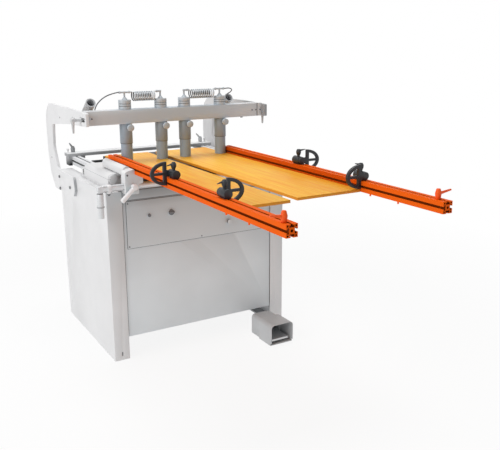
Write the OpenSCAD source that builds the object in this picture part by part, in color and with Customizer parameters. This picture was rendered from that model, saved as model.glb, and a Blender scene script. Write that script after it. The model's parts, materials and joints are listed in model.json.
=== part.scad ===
// Multi-spindle boring machine with two long side fences, flip stops and four air clamps.
// Lengths are in millimetres. The origin is on the floor under the middle of the cabinet,
// +X to the operator's right, +Y towards the rear and +Z up.

/* [Cabinet] */
// Width over the two side panels
cab_w = 1000; // [980:10:1060]
// Depth of the side panels
cab_d = 780; // [770:10:820]
// Height of the side panels
cab_h = 870; // [840:10:920]
// Thickness of the folded sheet
sheet_t = 3; // [2:0.5:4]
// Width of the folded front posts
post_w = 78; // [70:1:84]
// Width of the folded top flanges
top_flange_w = 66; // [50:1:70]
// Height of the open toe space under the front panel
toe_h = 117; // [90:1:140]
// Height of the control panel
control_h = 240; // [220:1:250]
// Distance of the control panel from the cabinet's sides
control_x = 96; // [90:1:110]
// Height of the rail above the control panel
front_rail_h = 45; // [40:1:50]
// Gap between neighbouring panels
panel_gap = 3; // [2:0.5:4]
// How far the front panel lies behind the posts
panel_recess = 5; // [4:0.5:6]
// Diameter of the floor anchor holes
anchor_d = 14; // [10:1:16]
// Distance of the anchor holes from the cabinet's sides
anchor_x = 33; // [30:1:36]
// Anchor hole distance from front to rear
anchor_y = 660; // [600:10:700]

/* [Table] */
// Height of the table top above the side panels
table_h = 88; // [84:1:96]
// Thickness of the table plates
table_t = 20; // [16:1:26]
// Distance of the drilling line behind the front
drill_y = 345; // [340:1:350]
// Width of the drilling gap between the table plates
drill_gap = 90; // [84:1:96]
// Thickness of the workpiece boards
board_t = 12; // [12:1:18]
// Width of the left board
board_left_w = 249; // [200:1:260]
// Length of the left board
board_left_l = 1442; // [1300:1:1500]
// Width of the right board
board_right_w = 312; // [250:1:330]
// Length of the right board
board_right_l = 1422; // [1300:1:1500]
// Distance of the boards' rear edges behind the front
board_rear_y = 500; // [480:1:540]

/* [Drilling head] */
// Number of spindles
spindle_n = 21; // [15:2:21]
// Distance between the spindles
spindle_pitch = 32; // [32:1:33]
// Diameter of the drills
bit_d = 8; // [5:0.5:10]
// Depth of the bored holes
bore_depth = 9; // [5:0.5:10]
// Depth of the drill tips under the table top at rest
tip_drop = 60; // [40:1:62]
// Diameter of the chucks
chuck_d = 20; // [16:1:24]
// Diameter of the head's guide columns
column_d = 30; // [24:1:36]
// Diameter of the drive motor
motor_d = 150; // [120:5:160]

/* [Arms and clamp beam] */
// Thickness of the two arms
arm_t = 15; // [12:1:18]
// Height of the underside of the clamp beam above the side panels
beam_lift = 296; // [290:1:310]
// Size of the square clamp beam
beam_s = 70; // [66:1:74]
// Wall of the clamp beam
beam_wall = 5; // [3:0.5:6]
// Distance of the beam's middle behind the front
beam_y = 255; // [250:1:262]
// Forward travel of the beam in the arm slots
beam_travel = 35; // [0:1:40]
// Length of the end block on the right end of the beam
beam_block = 28; // [20:1:40]

/* [Air clamps] */
// Outer diameter of the clamp barrels
clamp_d = 64; // [60:1:68]
// Wall of the clamp barrels
clamp_wall = 2.45; // [2:0.05:4]
// Length of a barrel below the beam
clamp_drop = 102; // [90:1:110]
// Height of a barrel's cap above the beam
clamp_cap_h = 47; // [40:1:60]
// Stroke of the clamp feet
clamp_stroke = 50; // [20:1:50]
// Diameter of the clamp knobs
knob_d = 34; // [28:1:38]
// Height of the air ports above the beam
port_h = 85; // [76:1:95]
// Sideways travel of the two inner clamps
clamp_shift = 30; // [0:1:30]
// Outer diameter of the coil hoses
coil_d = 50; // [44:1:54]
// Diameter of the air hose
hose_d = 6; // [4:0.5:6]
// Turns of each coil hose
coil_turns = 12; // [10:1:13]
// Outer diameter of the conduit tubes
conduit_d = 50; // [44:1:52]
// Bore of the conduit tubes
conduit_bore = 38; // [30:1:40]

/* [Fences] */
// Size of the square fence profile
fence_s = 45; // [40:1:46]
// Distance of the left fence from the left side of the cabinet
fence_x = 127; // [124:1:130]
// Distance between the two fences
fence_span = 610; // [600:1:616]
// Length of the fences
fence_l = 1668; // [1500:1:1700]
// Distance of the fences' front ends in front of the cabinet
fence_front = 1358; // [1300:1:1400]
// Gap between the table top and the fences
fence_gap = 1; // [1:0.5:4]
// How much further forward the right fence lies
fence_stagger = 25; // [0:1:30]
// Diameter of the front guide bar
bar_d = 32; // [28:1:34]
// Distance of the guide bar in front of the cabinet
bar_y = 30; // [28:1:34]
// Height of the guide bar above the side panels
bar_h = 28; // [26:1:30]
// Outward travel of the left fence
left_travel = 30; // [0:1:30]
// Outward travel of the right fence
right_travel = 100; // [0:1:100]

/* [Flip stops] */
// Diameter of a stop's body
stop_d = 36; // [30:1:38]
// Length of a stop's body
stop_l = 50; // [44:1:58]
// Thickness of the stop plates
paddle_t = 12; // [8:1:12]
// Half height of the stop plates
paddle_r = 51; // [44:1:51]
// Reach of a stop plate beyond the inner face of its bar
paddle_l = 73; // [66:1:80]

/* [Rear rails] */
// Size of the square rail profile
rail_s = 45; // [40:1:46]
// Distance of the rails from the cabinet's sides
rail_x = 69; // [66:1:72]
// Height of the slideways above the side panels
way_h = 75; // [70:1:76]
// Height of the rails' top above the side panels
rail_h = 67; // [60:1:68]
// Distance of the crossbar's rear edge behind the front
crossbar_y = 832; // [826:1:846]
// Width of the crossbar
crossbar_w = 70; // [60:1:80]
// Thickness of the crossbar
crossbar_t = 19; // [12:1:22]
// Forward travel of the crossbar on the rails
crossbar_travel = 150; // [0:1:160]

/* [Foot pedal] */
// Width of the pedal hood
pedal_w = 137; // [120:1:150]
// Height of the pedal hood
pedal_h = 118; // [105:1:130]
// Length of the pedal hood
pedal_l = 218; // [200:1:224]
// Wall of the pedal hood
pedal_wall = 4; // [3:0.5:5]

/* [Hidden] */
$fn = 64;

// Clearances between pieces
weld = 0.2;      // seam between two pieces of one weldment
fit = 0.05;      // radial clearance of a shaft in its bore
slip = 0.3;      // clearance between sliding or neighbouring faces

// Heights of the main levels
table_z = cab_h + table_h;
board_z = table_z + board_t;
fence_z = table_z + fence_gap;
fence_top = fence_z + fence_s;
beam_z = cab_h + beam_lift;
beam_top = beam_z + beam_s;
way_z = cab_h + way_h;
rail_z = cab_h + rail_h;
left = -cab_w/2;
front = -cab_d/2;

// Frame members
tube_s = 40;
bar_w = 60;
floor_t = 8;
frame_top = cab_h - 8;
upright_x = cab_w/2 - sheet_t - bar_w;
inner_x = upright_x - weld;
post_y = -front - sheet_t - 3.8;
mid_y = front + drill_y;
bridge_z = 300;
bridge_t = 20;

// Across the machine
fence_left = left + fence_x;
fence_right = fence_left + fence_s + fence_span;
bed_left = fence_left + fence_s + 10;
bed_right = fence_right - 33;
mid_fence = fence_left + fence_s + fence_span/2;
first_spindle = fence_left + fence_s + spindle_pitch/2;
head_mid = first_spindle + (spindle_n - 1)/2*spindle_pitch;
head_l = (spindle_n - 1)*spindle_pitch + 40;
function spindle_x(i) = first_spindle + i*spindle_pitch;

// Down the drilling head
head_w = 80;
tip_z = table_z - tip_drop;
bit_l = 45;
chuck_l = 35;
box_top = tip_z - bit_l - chuck_l;
box_h = 80;
feed = tip_drop + bore_depth;

// Boards
board_left_x = fence_left + fence_s + 0.5;
board_right_x = fence_right - 2 - board_right_w;
function board_over(x, r) =
    (x > board_left_x + r && x < board_left_x + board_left_w - r) ||
    (x > board_right_x + r && x < board_right_x + board_right_w - r);

// Guide bar
bar_z = cab_h + bar_h;
bar_r = bar_d/2;
bar_left = left - 24;
bar_right = -left + 24;

// Clamps, counted from the left; two are placed from each fence's inner face
clamp_in = [38, 233, 242, 30];
clamp_x = [for (i = [0:3]) fence_x + fence_s + (i < 2 ? clamp_in[i] : fence_span - clamp_in[i])];
clamp_r = clamp_d/2;
foot_r = clamp_r - clamp_wall - fit;
stem_r = 12;
barrel_z = beam_z - clamp_drop;
knob_z = beam_z - 19;
bore_top = knob_z - 10;
foot_top = bore_top - clamp_stroke - 1;
port_z = beam_top + port_h;
coil_r = coil_d/2 - hose_d/2;

// Beam levers and their slots in the arms
stud_r = 6;
stud_y = front + beam_y + 10;
stud_z = beam_z + 29;

// Stops: distance of each plate's middle in front of the cabinet
stop_y = [434, 886, 462, 920];
pivot_z = fence_top + slip + stop_d/2;

// Rounded outline: corners are [x, y, radius] and each arc has n points
function unit(v) = v/norm(v);
function corner(a, b, c, n) =
    let (p = [b[0], b[1]], u = unit([a[0], a[1]] - p), v = unit([c[0], c[1]] - p),
         half = acos(min(1, max(-1, u*v)))/2, m = unit(u + v), q = p + m*b[2]/sin(half),
         s = p + u*b[2]/tan(half) - q, e = p + v*b[2]/tan(half) - q,
         a0 = atan2(s[1], s[0]), d = atan2(e[1], e[0]) - a0,
         t = d > 180 ? d - 360 : d < -180 ? d + 360 : d)
    [for (i = [0:n]) q + b[2]*[cos(a0 + t*i/n), sin(a0 + t*i/n)]];
function rounded(pts, n = 6) = let (k = len(pts))
    [for (i = [0:k-1]) for (q = pts[i][2] > 0 ?
        corner(pts[(i + k - 1) % k], pts[i], pts[(i + 1) % k], n) : [[pts[i][0], pts[i][1]]]) q];

// Tube of n sides swept along a path of points, with a frame carried from ring to ring
function cross_unit(a, b) = unit(cross(a, b));
function tangent(p, i) = unit(p[min(i + 1, len(p) - 1)] - p[max(i - 1, 0)]);
module sweep_tube(path, r, n) {
    k = len(path);
    t = [for (i = [0:k-1]) i == 0 ? unit(path[1] - path[0]) :
        i == k - 1 ? unit(path[k-1] - path[k-2]) : tangent(path, i)];
    n0 = abs(t[0][2]) < 0.8 ? cross_unit(t[0], [0, 0, 1]) : cross_unit(t[0], [0, 1, 0]);
    frames = [for (i = 0, f = n0; i < k;
        i = i + 1, f = i < k ? unit(f - (f*t[i])*t[i]) : f) f];
    points = [for (i = [0:k-1]) let (u = frames[i], v = cross(t[i], u))
        for (j = [0:n-1]) path[i] + r*(cos(360*j/n)*u + sin(360*j/n)*v)];
    faces = concat(
        [for (i = [0:k-2]) for (j = [0:n-1]) [i*n + j, (i+1)*n + j, (i+1)*n + (j+1) % n]],
        [for (i = [0:k-2]) for (j = [0:n-1]) [i*n + j, (i+1)*n + (j+1) % n, i*n + (j+1) % n]],
        [for (j = [1:n-2]) [0, j, j + 1]],
        [for (j = [1:n-2]) [(k-1)*n, (k-1)*n + j + 1, (k-1)*n + j]]);
    polyhedron(points, faces);
}
function bezier(a, b, c, d, s) =
    pow(1-s, 3)*a + 3*s*pow(1-s, 2)*b + 3*s*s*(1-s)*c + s*s*s*d;

// Smooth path through chosen points
function spline(p, n) = let (k = len(p)) concat(
    [for (i = [0:k-2]) for (j = [0:n-1]) let (s = j/n,
        a = p[max(i-1, 0)], b = p[i], c = p[i+1], d = p[min(i+2, k-1)])
        0.5*((2*b) + (c-a)*s + (2*a - 5*b + 4*c - d)*s*s + (3*b - a - 3*c + d)*s*s*s)],
    [p[k-1]]);

// Helpers for placing and shaping
module along_x(p, r, l) translate(p) rotate([0, 90, 0]) cylinder(r = r, h = l);
module along_y(p, r, l) translate(p) rotate([-90, 0, 0]) cylinder(r = r, h = l);
module block(a, b) translate(a) cube(b - a);
module plate_yz(x, t) translate([x, 0, 0]) rotate([90, 0, 90]) linear_extrude(t) children();
module plate_xz(y, t) translate([0, y, 0]) rotate([90, 0, 0]) linear_extrude(t) children();
module both_sides() { children(); mirror([1, 0, 0]) children(); }
module to_right_fence() translate([2*mid_fence, 0, 0]) mirror([1, 0, 0]) children();

// Square profile with a groove in each side, four corner channels and a middle bore
module grooved_profile(s) {
    lip = 4.5;
    core = 11;
    difference() {
        square(s, center = true);
        for (a = [0:90:270]) rotate(a) {
            translate([s/2 - lip, -5]) square([lip + 1, 10]);
            translate([core, -10]) square([s/2 - lip - core, 20]);
            translate([s/2 - 9.5, s/2 - 9.5]) square(6.5);
        }
        circle(r = 5);
    }
}

// Rectangle on the ground line with rounded top corners
module hood_shape(w, h, r) {
    translate([-w/2, 0]) square([w, h - r]);
    translate([-w/2 + r, 0]) square([w - 2*r, h]);
    for (s = [-1, 1]) translate([s*(w/2 - r), h - r]) circle(r = r);
}

// Arm bolts, [distance behind the front, height below the panel's top edge]
arm_bolts = [[750, 36], [750, 104], [550, 66]];

module side_panel_left() {
    difference() {
        union() {
            block([left, front, 0], [left + sheet_t, -front, cab_h]);
            block([left, front, 0], [left + post_w, front + sheet_t, cab_h]);
            block([left, -front - sheet_t, 0], [left + 40, -front, cab_h]);
            block([left, front, cab_h - sheet_t], [left + top_flange_w, -front, cab_h]);
        }
        // levelling slot in the post, hand hole in the side and arm bolt holes
        translate([left + 40, front - 1, 33]) rotate([-90, 0, 0]) {
            translate([-3, -8, 0]) cube([6, 16, sheet_t + 2]);
            for (s = [-8, 8]) translate([0, s, 0]) cylinder(r = 3, h = sheet_t + 2);
        }
        along_x([left - 1, front + 733, 88], 5.5, sheet_t + 2);
        for (b = arm_bolts) along_x([left - 1, front + b[0], cab_h - b[1]], 5.5, sheet_t + 2);
    }
}
module left_side_panel() color("#ececee") side_panel_left();
module right_side_panel() color("#ececee") mirror([1, 0, 0]) side_panel_left();

// Anchor bars, uprights, side beams, cross rails, bridge, columns and the feed cylinder
module inner_frame() color("#c9cbce") {
    both_sides() {
        difference() {
            block([-upright_x - bar_w, -post_y, 0], [-upright_x, post_y, floor_t]);
            for (s = [-1, 1]) translate([left + anchor_x, s*anchor_y/2, -1])
                cylinder(d = anchor_d, h = floor_t + 2);
        }
        for (y = [-post_y, mid_y - tube_s/2, post_y - tube_s])
            block([-upright_x - tube_s, y, floor_t + weld],
                [-upright_x, y + tube_s, frame_top - tube_s - weld]);
        block([-upright_x - tube_s, -post_y, frame_top - tube_s],
            [-upright_x, post_y, frame_top]);
        block([-upright_x + weld, front + panel_recess + sheet_t + weld, toe_h + 10],
            [-upright_x + 46, front + panel_recess + sheet_t + 3, cab_h - front_rail_h - 12]);
    }
    block([-inner_x, post_y - tube_s, 0], [inner_x, post_y, floor_t]);
    for (y = cross_rails) block([-inner_x, y - tube_s/2, frame_top - tube_s],
        [inner_x, y + tube_s/2, frame_top]);
    difference() {
        block([-inner_x, mid_y - 50, bridge_z], [inner_x, mid_y + 110, bridge_z + bridge_t]);
        for (s = [-1, 1]) translate([head_mid + s*column_off, column_y, bridge_z - 1])
            cylinder(r = column_d/2 + fit, h = bridge_t + 2);
    }
    for (s = [-1, 1]) translate([head_mid + s*column_off, column_y, bridge_z])
        cylinder(d = column_d, h = frame_top - tube_s - weld - bridge_z);
    translate([head_mid, mid_y, bridge_z + bridge_t + weld]) difference() {
        cylinder(d = 70, h = cylinder_h);
        translate([0, 0, 20]) cylinder(r = rod_r + fit, h = cylinder_h);
    }
}
cross_rails = [front + 90, mid_y - drill_gap/2 - 35, mid_y + drill_gap/2 + 30,
    mid_y + drill_gap/2 + 140];
column_y = mid_y + 75;
column_off = 308;
rod_r = 10;
cylinder_h = 200;

module front_face(z0, z1) {
    hx = cab_w/2 - post_w - panel_gap;
    block([-hx, front + panel_recess, z0], [hx, front + panel_recess + sheet_t, z1]);
}
plate_t = 3;
plate_y = front + panel_recess - plate_t;
control_top = cab_h - front_rail_h - panel_gap - 4;
control_low = control_top - control_h;

// Buttons on the control panel: [from the cabinet's left side, down from the panel's top]
start_at = [215, 82];
selector_at = [333, 80];
stop_at = [660, 171];
function button_pos(b) = [left + b[0], plate_y, control_top - b[1]];
stem_d = 12;
start_r = 8;

module bezel(p, r, sink) difference() {
    union() {
        along_y(p + [0, -3, 0], r, 3.2);
        along_y(p + [0, -1, 0], stem_d/2 + 3.8, 12);
    }
    along_y(p + [0, -4, 0], stem_d/2 + fit, 20);
    // room for a head that goes in when it is pressed
    if (sink > 0) along_y(p + [0, -4, 0], start_r + fit, 4 + sink);
}
module button_holes(y) for (b = [start_at, selector_at, stop_at]) let (p = button_pos(b))
    along_y([p[0], y, p[2]], stem_d/2 + 4, sheet_t + 2);
module control_panel() color("#b4b6b8") {
    hx = cab_w/2 - control_x;
    difference() {
        block([-hx, plate_y, control_low], [hx, plate_y + plate_t - weld, control_top]);
        button_holes(plate_y - 1);
    }
    for (b = [[start_at, 10, 0.3], [selector_at, 16, 0], [stop_at, 13, 0]])
        bezel(button_pos(b[0]), b[1], b[2]);
    // screw heads along the edges
    for (x = [-hx + 10, 2, hx - 10]) for (z = [control_low + 11, control_top - 12])
        along_y([x, plate_y - 1.2, z], 3.5, 1.4);
}
// One front sheet between the posts, and the rail above it
module lower_front_panel() color("#c4c6c8") {
    difference() {
        front_face(toe_h, cab_h - front_rail_h - panel_gap);
        button_holes(front + panel_recess - 1);
    }
    block([-cab_w/2 + post_w + weld, front, cab_h - front_rail_h],
        [cab_w/2 - post_w - weld, front + sheet_t, cab_h]);
    block([-cab_w/2 + post_w + weld, front, cab_h - sheet_t],
        [cab_w/2 - post_w - weld, front + 34, cab_h]);
}
module rear_panel() color("#c4c6c8")
    block([left + 40 + weld, -front - sheet_t, toe_h],
        [-left - 40 - weld, -front, cab_h - front_rail_h]);

module arm_bolt() {
    along_x([left - arm_t - 5, 0, 0], 8, 5);
    along_x([left - arm_t - 0.5, 0, 0], 5, arm_t + sheet_t + 11);
    along_x([left + sheet_t + weld, 0, 0], 8, 6);
}
module frame_fasteners() color("#8f9296") both_sides()
    for (b = arm_bolts) translate([0, front + b[0], cab_h - b[1]]) arm_bolt();

// C-shaped side arm that carries the clamp beam over the table
module arm_shape() difference() {
    polygon(rounded([
        [front + 190, beam_z, 4], [front + 190, beam_top - 6, 6], [front + 400, beam_top, 60],
        [front + 880, beam_top, 80], [front + 958, cab_h + 300, 100],
        [front + 958, cab_h + 88, 160], [front + 930, cab_h - 40, 30],
        [front + 850, cab_h - 119, 24], [front + 494, cab_h - 105, 8],
        [front + 466, cab_h - 70, 30], [front + 478, cab_h - 12, 12], [front + 486, cab_h + 2, 4],
        [front + 774, cab_h + 2, 36], [front + 840, cab_h + 130, 80],
        [front + 820, beam_z - 42, 14], [front + 480, beam_z - 13, 100]]));
    for (b = arm_bolts) translate([front + b[0], cab_h - b[1]]) circle(r = 5.5);
    for (p = [[658, 303], [890, 55]]) translate([front + p[0], cab_h + p[1]]) circle(r = 4);
    // slot for the beam's stud
    hull_slot(stud_y - beam_travel - 8, stud_y + 6, stud_z, 10);
}
module hull_slot(y0, y1, z, r) {
    translate([y0 - r, z - r]) square([y1 - y0 + 2*r - 2, 2*r]);
}
module left_arm() color("#f0f0f2") plate_yz(left - arm_t, arm_t) arm_shape();
module right_arm() color("#f0f0f2") plate_yz(-left, arm_t) arm_shape();

// Two ribbed table plates with the drilling gap between them
module table_plate(y0, y1, webs) {
    block([bed_left, y0, table_z - table_t], [bed_right, y1, table_z]);
    for (y = webs) block([bed_left, y - 10, frame_top + weld],
        [bed_right, y + 10, table_z - table_t + 1]);
}
module table_bed() color("#b9bcc0") {
    table_plate(front + 60, mid_y - drill_gap/2, [cross_rails[0], cross_rails[1]]);
    table_plate(mid_y + drill_gap/2, front + 562, [cross_rails[2], cross_rails[3]]);
    // bearer along the rear edge, which reaches past the fences
    bearer_x = rail_x + rail_s + 2;
    block([left + bearer_x, bearer_y, table_z - 34],
        [-left - bearer_x, front + 562, table_z - table_t + 2]);
}

// Boards on the table, with the row of holes that the head has bored into their undersides
module board(x, w, l) difference() {
    block([x, front + board_rear_y - l, table_z], [x + w, front + board_rear_y, board_z]);
    for (i = [0:spindle_n-1]) if (board_over(spindle_x(i), bit_d/2 + 2))
        translate([spindle_x(i), mid_y, table_z - 1])
            cylinder(d = bit_d + 2*slip, h = bore_depth + 2*slip + 1);
}
module work_boards() color("#f3b03c") {
    board(board_left_x, board_left_w, board_left_l);
    board(board_right_x, board_right_w, board_right_l);
}

// Slideways on the cabinet for the fence carriers, round along their outer edge
way_left = left + 40;
way_right = left + 150;
way_front = front + 80;
way_rear = front + 450;
way_lug_l = 46;      // lug beside the rail, and the foot under it
way_foot_l = 50;
bearer_y = front + 553;
module slideway() {
    r = 24;
    lug_right = left + rail_x - 3;
    pocket_y = way_rear + 20;
    foot_top = rail_z - rail_s - weld;
    difference() {
        plate_xz(way_rear, way_rear - way_front) {
            translate([way_left, cab_h + weld]) square([way_right - way_left, way_h - weld - r]);
            translate([way_left + r, cab_h + weld]) square([way_right - way_left - r, way_h - weld]);
            translate([way_left + r, way_z - r]) circle(r = r);
        }
        // dark step under the front boss
        block([way_left + 4, way_front - 1, cab_h + 13], [way_right + 1, way_front + 16, cab_h + 22]);
    }
    block([way_left + 1, way_rear - 1, cab_h + weld], [way_right, way_rear + way_foot_l, foot_top]);
    difference() {
        block([way_left, way_rear - 1, cab_h + weld], [lug_right, way_rear + way_lug_l, cab_h + 52]);
        // oval pocket
        for (z = [-9, 9]) along_x([way_left - 1, pocket_y, cab_h + 28 + z], 8, 21);
        block([way_left - 1, pocket_y - 8, cab_h + 19], [way_left + 20, pocket_y + 8, cab_h + 37]);
    }
    along_y([way_left + 26, way_front - 10, way_z - 24], 21, 11);
}
module side_ways() color("#e9eaec") both_sides() slideway();
module rear_rails() color("#d5d8db") both_sides() {
    translate([left + rail_x + rail_s/2, front + crossbar_y, rail_z - rail_s/2])
        rotate([90, 0, 0]) linear_extrude(front + crossbar_y - way_rear - weld)
            grooved_profile(rail_s);
}

// Front guide bar with its end blocks and the hanging grip at the left end
grip_x = bar_left - 14;
bar_axis_y = front - bar_y;
module guide_bar() color("#e4e5e7") {
    along_x([bar_left, bar_axis_y, bar_z], bar_r, bar_right - bar_left);
    difference() {
        union() {
            block([bar_left - 26, bar_axis_y - 14, bar_z - 12], [bar_left, bar_axis_y + 14, bar_z + 14]);
            along_x([bar_left - 6, bar_axis_y, bar_z], 14, 7);
        }
        along_y([grip_x, bar_axis_y - 15, bar_z + 2], 2.5, 3);
    }
    translate([grip_x, bar_axis_y, bar_z - 12 - 9]) cylinder(r = 13, h = 9.2);
    translate([grip_x, bar_axis_y, bar_z - 80]) cylinder(r = 15.5, h = 60);
    translate([grip_x, bar_axis_y, bar_z - 87]) cylinder(r = 18, h = 7.2);
    translate([grip_x, bar_axis_y, bar_z - 138]) cylinder(r = 14.5, h = 51.2);
    along_x([bar_right - 0.2, bar_axis_y, bar_z], 14, 8);
}
module guide_bracket() {
    difference() {
        union() {
            along_x([left - 4, bar_axis_y, bar_z], bar_r + 4, 18);
            block([left - 4, bar_axis_y, bar_z - 12], [left + 14, front + 34, bar_z + 6]);
            block([left + 2, front + 8, cab_h + weld], [left + 34, front + 60, cab_h + 12]);
            block([left + 2, front + 8, cab_h + weld], [left + 14, front + 34, bar_z]);
            translate([left + 5, bar_axis_y, bar_z - bar_r - 13]) cylinder(r = 8, h = 16);
            translate([left + 5, bar_axis_y, bar_z - bar_r - 17]) cylinder(r = 5, h = 5);
        }
        along_x([left - 5, bar_axis_y, bar_z], bar_r + fit, 20);
    }
}
module guide_brackets() color("#e4e5e7") both_sides() guide_bracket();

// Push buttons and the rotary selector
module start_button() color("#9a9c9f") {
    p = button_pos(start_at);
    along_y(p + [0, -8, 0], start_r, 4.7);
    along_y(p + [0, -4, 0], stem_d/2, 14);
}
module selector_knob() color("#8e9093") {
    p = button_pos(selector_at);
    along_y(p + [0, -8, 0], 15, 4.7);
    block(p + [-14, -17, -4], p + [14, -7.9, 4]);
    along_y(p + [0, -4, 0], stem_d/2, 14);
}
module stop_button() color("#d9dadc") {
    p = button_pos(stop_at);
    along_y(p + [0, -16, 0], 12.5, 8);
    along_y(p + [0, -9, 0], 9, 2);
    along_y(p + [0, -8, 0], stem_d/2, 18);
}

// Foot pedal on the floor, an open-fronted hood over a hinged plate
pedal_x = left + 838.5;
pedal_back = front - 38;
pedal_front = pedal_back - pedal_l;
pedal_step = 8;
pedal_rear_l = 92;
hinge_y = pedal_front + 160;
hinge_z = 26;
hinge_r = 4;
module pedal_hood() color("#b4b7bb") translate([pedal_x, 0, 0]) {
    difference() {
        union() {
            plate_xz(pedal_back - pedal_rear_l, pedal_l - pedal_rear_l)
                hood_shape(pedal_w, pedal_h, 22);
            plate_xz(pedal_back, pedal_rear_l + 1)
                hood_shape(pedal_w - 2*pedal_step, pedal_h - pedal_step, 20);
        }
        translate([0, 0, 6]) plate_xz(pedal_back - pedal_rear_l + pedal_wall, pedal_l)
            hood_shape(pedal_w - 2*(pedal_step + pedal_wall), pedal_h - pedal_step - pedal_wall - 6, 16);
        translate([0, 0, 6]) plate_xz(pedal_back - pedal_rear_l - pedal_wall, pedal_l)
            hood_shape(pedal_w - 2*pedal_wall, pedal_h - pedal_wall - 6, 18);
        translate([0, 0, 6]) plate_xz(pedal_back - pedal_wall, pedal_rear_l)
            hood_shape(pedal_w - 2*(pedal_step + pedal_wall), pedal_h - pedal_step - pedal_wall - 6, 16);
        // the side walls stop short of the open front of the base plate
        block([-pedal_w, pedal_front - 1, -1], [pedal_w, pedal_front + 10, 14]);
    }
    for (s = [-1, 1]) difference() {
        block([s*40 - 4, hinge_y - 8, 5], [s*40 + 4, hinge_y + 8, hinge_z + 8]);
        along_x([s*40 - 5, hinge_y, hinge_z], hinge_r - 0.5, 10);
    }
    along_x([-44, hinge_y, hinge_z], hinge_r, 88);
}
module pedal_plate() color("#d6d8da") translate([pedal_x, hinge_y, hinge_z]) {
    difference() {
        union() {
            along_x([-34, 0, 0], 9, 68);
            block([-52, -140, -3], [52, -4, 3]);
            block([-52, -140, -8], [52, -136, 3]);
        }
        along_x([-60, 0, 0], hinge_r + fit, 120);
        for (s = [-1, 1]) block([s*43.5 - 9.5, -11, -12], [s*43.5 + 9.5, 12, 12]);
    }
}

// Crossbar clamped on the rear rails, with its brackets and levers
bar_top = rail_z + crossbar_t + slip;
lever_x = [left + 88, -left - 96];
lever_y = front + crossbar_y - 20;
crossbar_mid = front + crossbar_y - crossbar_w/2;
module rear_crossbar() color("#9fa3a8") {
    difference() {
        union() {
            block([left + 44, crossbar_mid - crossbar_w/2, rail_z + slip],
                [-left - 44, crossbar_mid + crossbar_w/2, bar_top]);
            both_sides() {
                // brackets down both sides of the rail
                block([left + 50, crossbar_mid - 30, rail_z - rail_s - 6],
                    [left + rail_x - slip, crossbar_mid + 30, rail_z + slip + 1]);
                block([left + rail_x + rail_s + slip, crossbar_mid - 30, rail_z - 14],
                    [left + rail_x + rail_s + 30, crossbar_mid + 30, rail_z + slip + 1]);
            }
        }
        for (x = lever_x) translate([x, lever_y, rail_z - 1])
            cylinder(r = 5 + fit, h = crossbar_t + 3);
    }
    for (x = [left + 60, -left - 64]) {
        translate([x, lever_y + 6, bar_top - 0.2]) cylinder(r = 3.5, h = 12);
        translate([x, lever_y + 6, bar_top + 11]) cylinder(r = 7, h = 9);
    }
}
// Clamping lever: hub, flared handle and the stud below
module lever(hub_r, hub_h, arm_l, tilt, stud, stud_l, rise = 0.7) {
    cylinder(r1 = hub_r*0.8, r2 = hub_r, h = hub_h*0.55);
    translate([0, 0, hub_h*0.55]) cylinder(r1 = hub_r, r2 = hub_r*0.62, h = hub_h*0.45);
    translate([0, 0, hub_h*rise]) rotate([0, -90 + tilt, 0])
        cylinder(r1 = hub_r*0.5, r2 = hub_r*0.3, h = arm_l);
    translate([0, 0, -stud_l]) cylinder(r = stud, h = stud_l + 1);
}
module crossbar_left_lever() color("#8d9094")
    translate([lever_x[0], lever_y, bar_top + slip]) rotate([0, 0, 40])
        lever(13, 34, 42, 45, 5, crossbar_t);
module crossbar_right_lever() color("#8d9094")
    translate([lever_x[1], lever_y, bar_top + slip]) rotate([0, 0, 10])
        lever(13, 34, 42, 45, 5, crossbar_t);

// Clamp beam: square tube with end plugs, an end block and slots for the two inner clamps
beam_half = cab_w/2 - slip;
beam_mid_y = front + beam_y;
block_x = beam_half - beam_block;
module clamp_beam() color("#aeb1b5") {
    difference() {
        block([-beam_half, beam_mid_y - beam_s/2, beam_z], [beam_half, beam_mid_y + beam_s/2, beam_top]);
        block([-beam_half + 30, beam_mid_y - beam_s/2 + beam_wall, beam_z + beam_wall],
            [block_x - 8, beam_mid_y + beam_s/2 - beam_wall, beam_top - beam_wall]);
        // recessed left end and the bores for the studs of the end levers
        block([-beam_half - 1, beam_mid_y - beam_s/2 + beam_wall, beam_z + beam_wall],
            [-beam_half + 6, beam_mid_y + beam_s/2 - beam_wall, beam_top - beam_wall]);
        along_x([-beam_half, stud_y, stud_z], stud_r + fit, 26);
        along_x([beam_half - 26, stud_y, stud_z], stud_r + fit, 27);
        // groove between beam and end block
        difference() {
            block([block_x - 4, beam_mid_y - beam_s, beam_z - 1],
                [block_x, beam_mid_y + beam_s, beam_top + 1]);
            block([block_x - 5, beam_mid_y - beam_s/2 + 6, beam_z + 6],
                [block_x + 1, beam_mid_y + beam_s/2 - 6, beam_top - 6]);
        }
        for (i = [0, 3]) translate([left + clamp_x[i], beam_mid_y, beam_z - 1])
            cylinder(r = stem_r + slip, h = beam_s + 2);
        for (i = [1, 2]) let (x = left + clamp_x[i], d = i == 1 ? clamp_shift : -clamp_shift)
            block([min(x, x + d) - stem_r - slip, beam_mid_y - stem_r - fit, beam_z - 1],
                [max(x, x + d) + stem_r + slip, beam_mid_y + stem_r + fit, beam_top + 1]);
    }
    // small screws on the front face and the stop screw underneath
    for (x = [left + 24, -left - 63, -left - 39, -left - 12])
        along_y([x, beam_mid_y - beam_s/2 - 1.5, beam_z + 34], 4, 1.6);
    translate([left + 889, beam_mid_y, beam_z - 8]) cylinder(r = 7, h = 8.1);
    // push-in fitting for the left air hose on the rear face
    along_y([left + hose_in[0], beam_mid_y + beam_s/2 - 0.2, hose_in[1]], hose_d/2 + 3, 9.2);
}
hose_in = [76, beam_z + 40];   // from the cabinet's left side, and height

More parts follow.
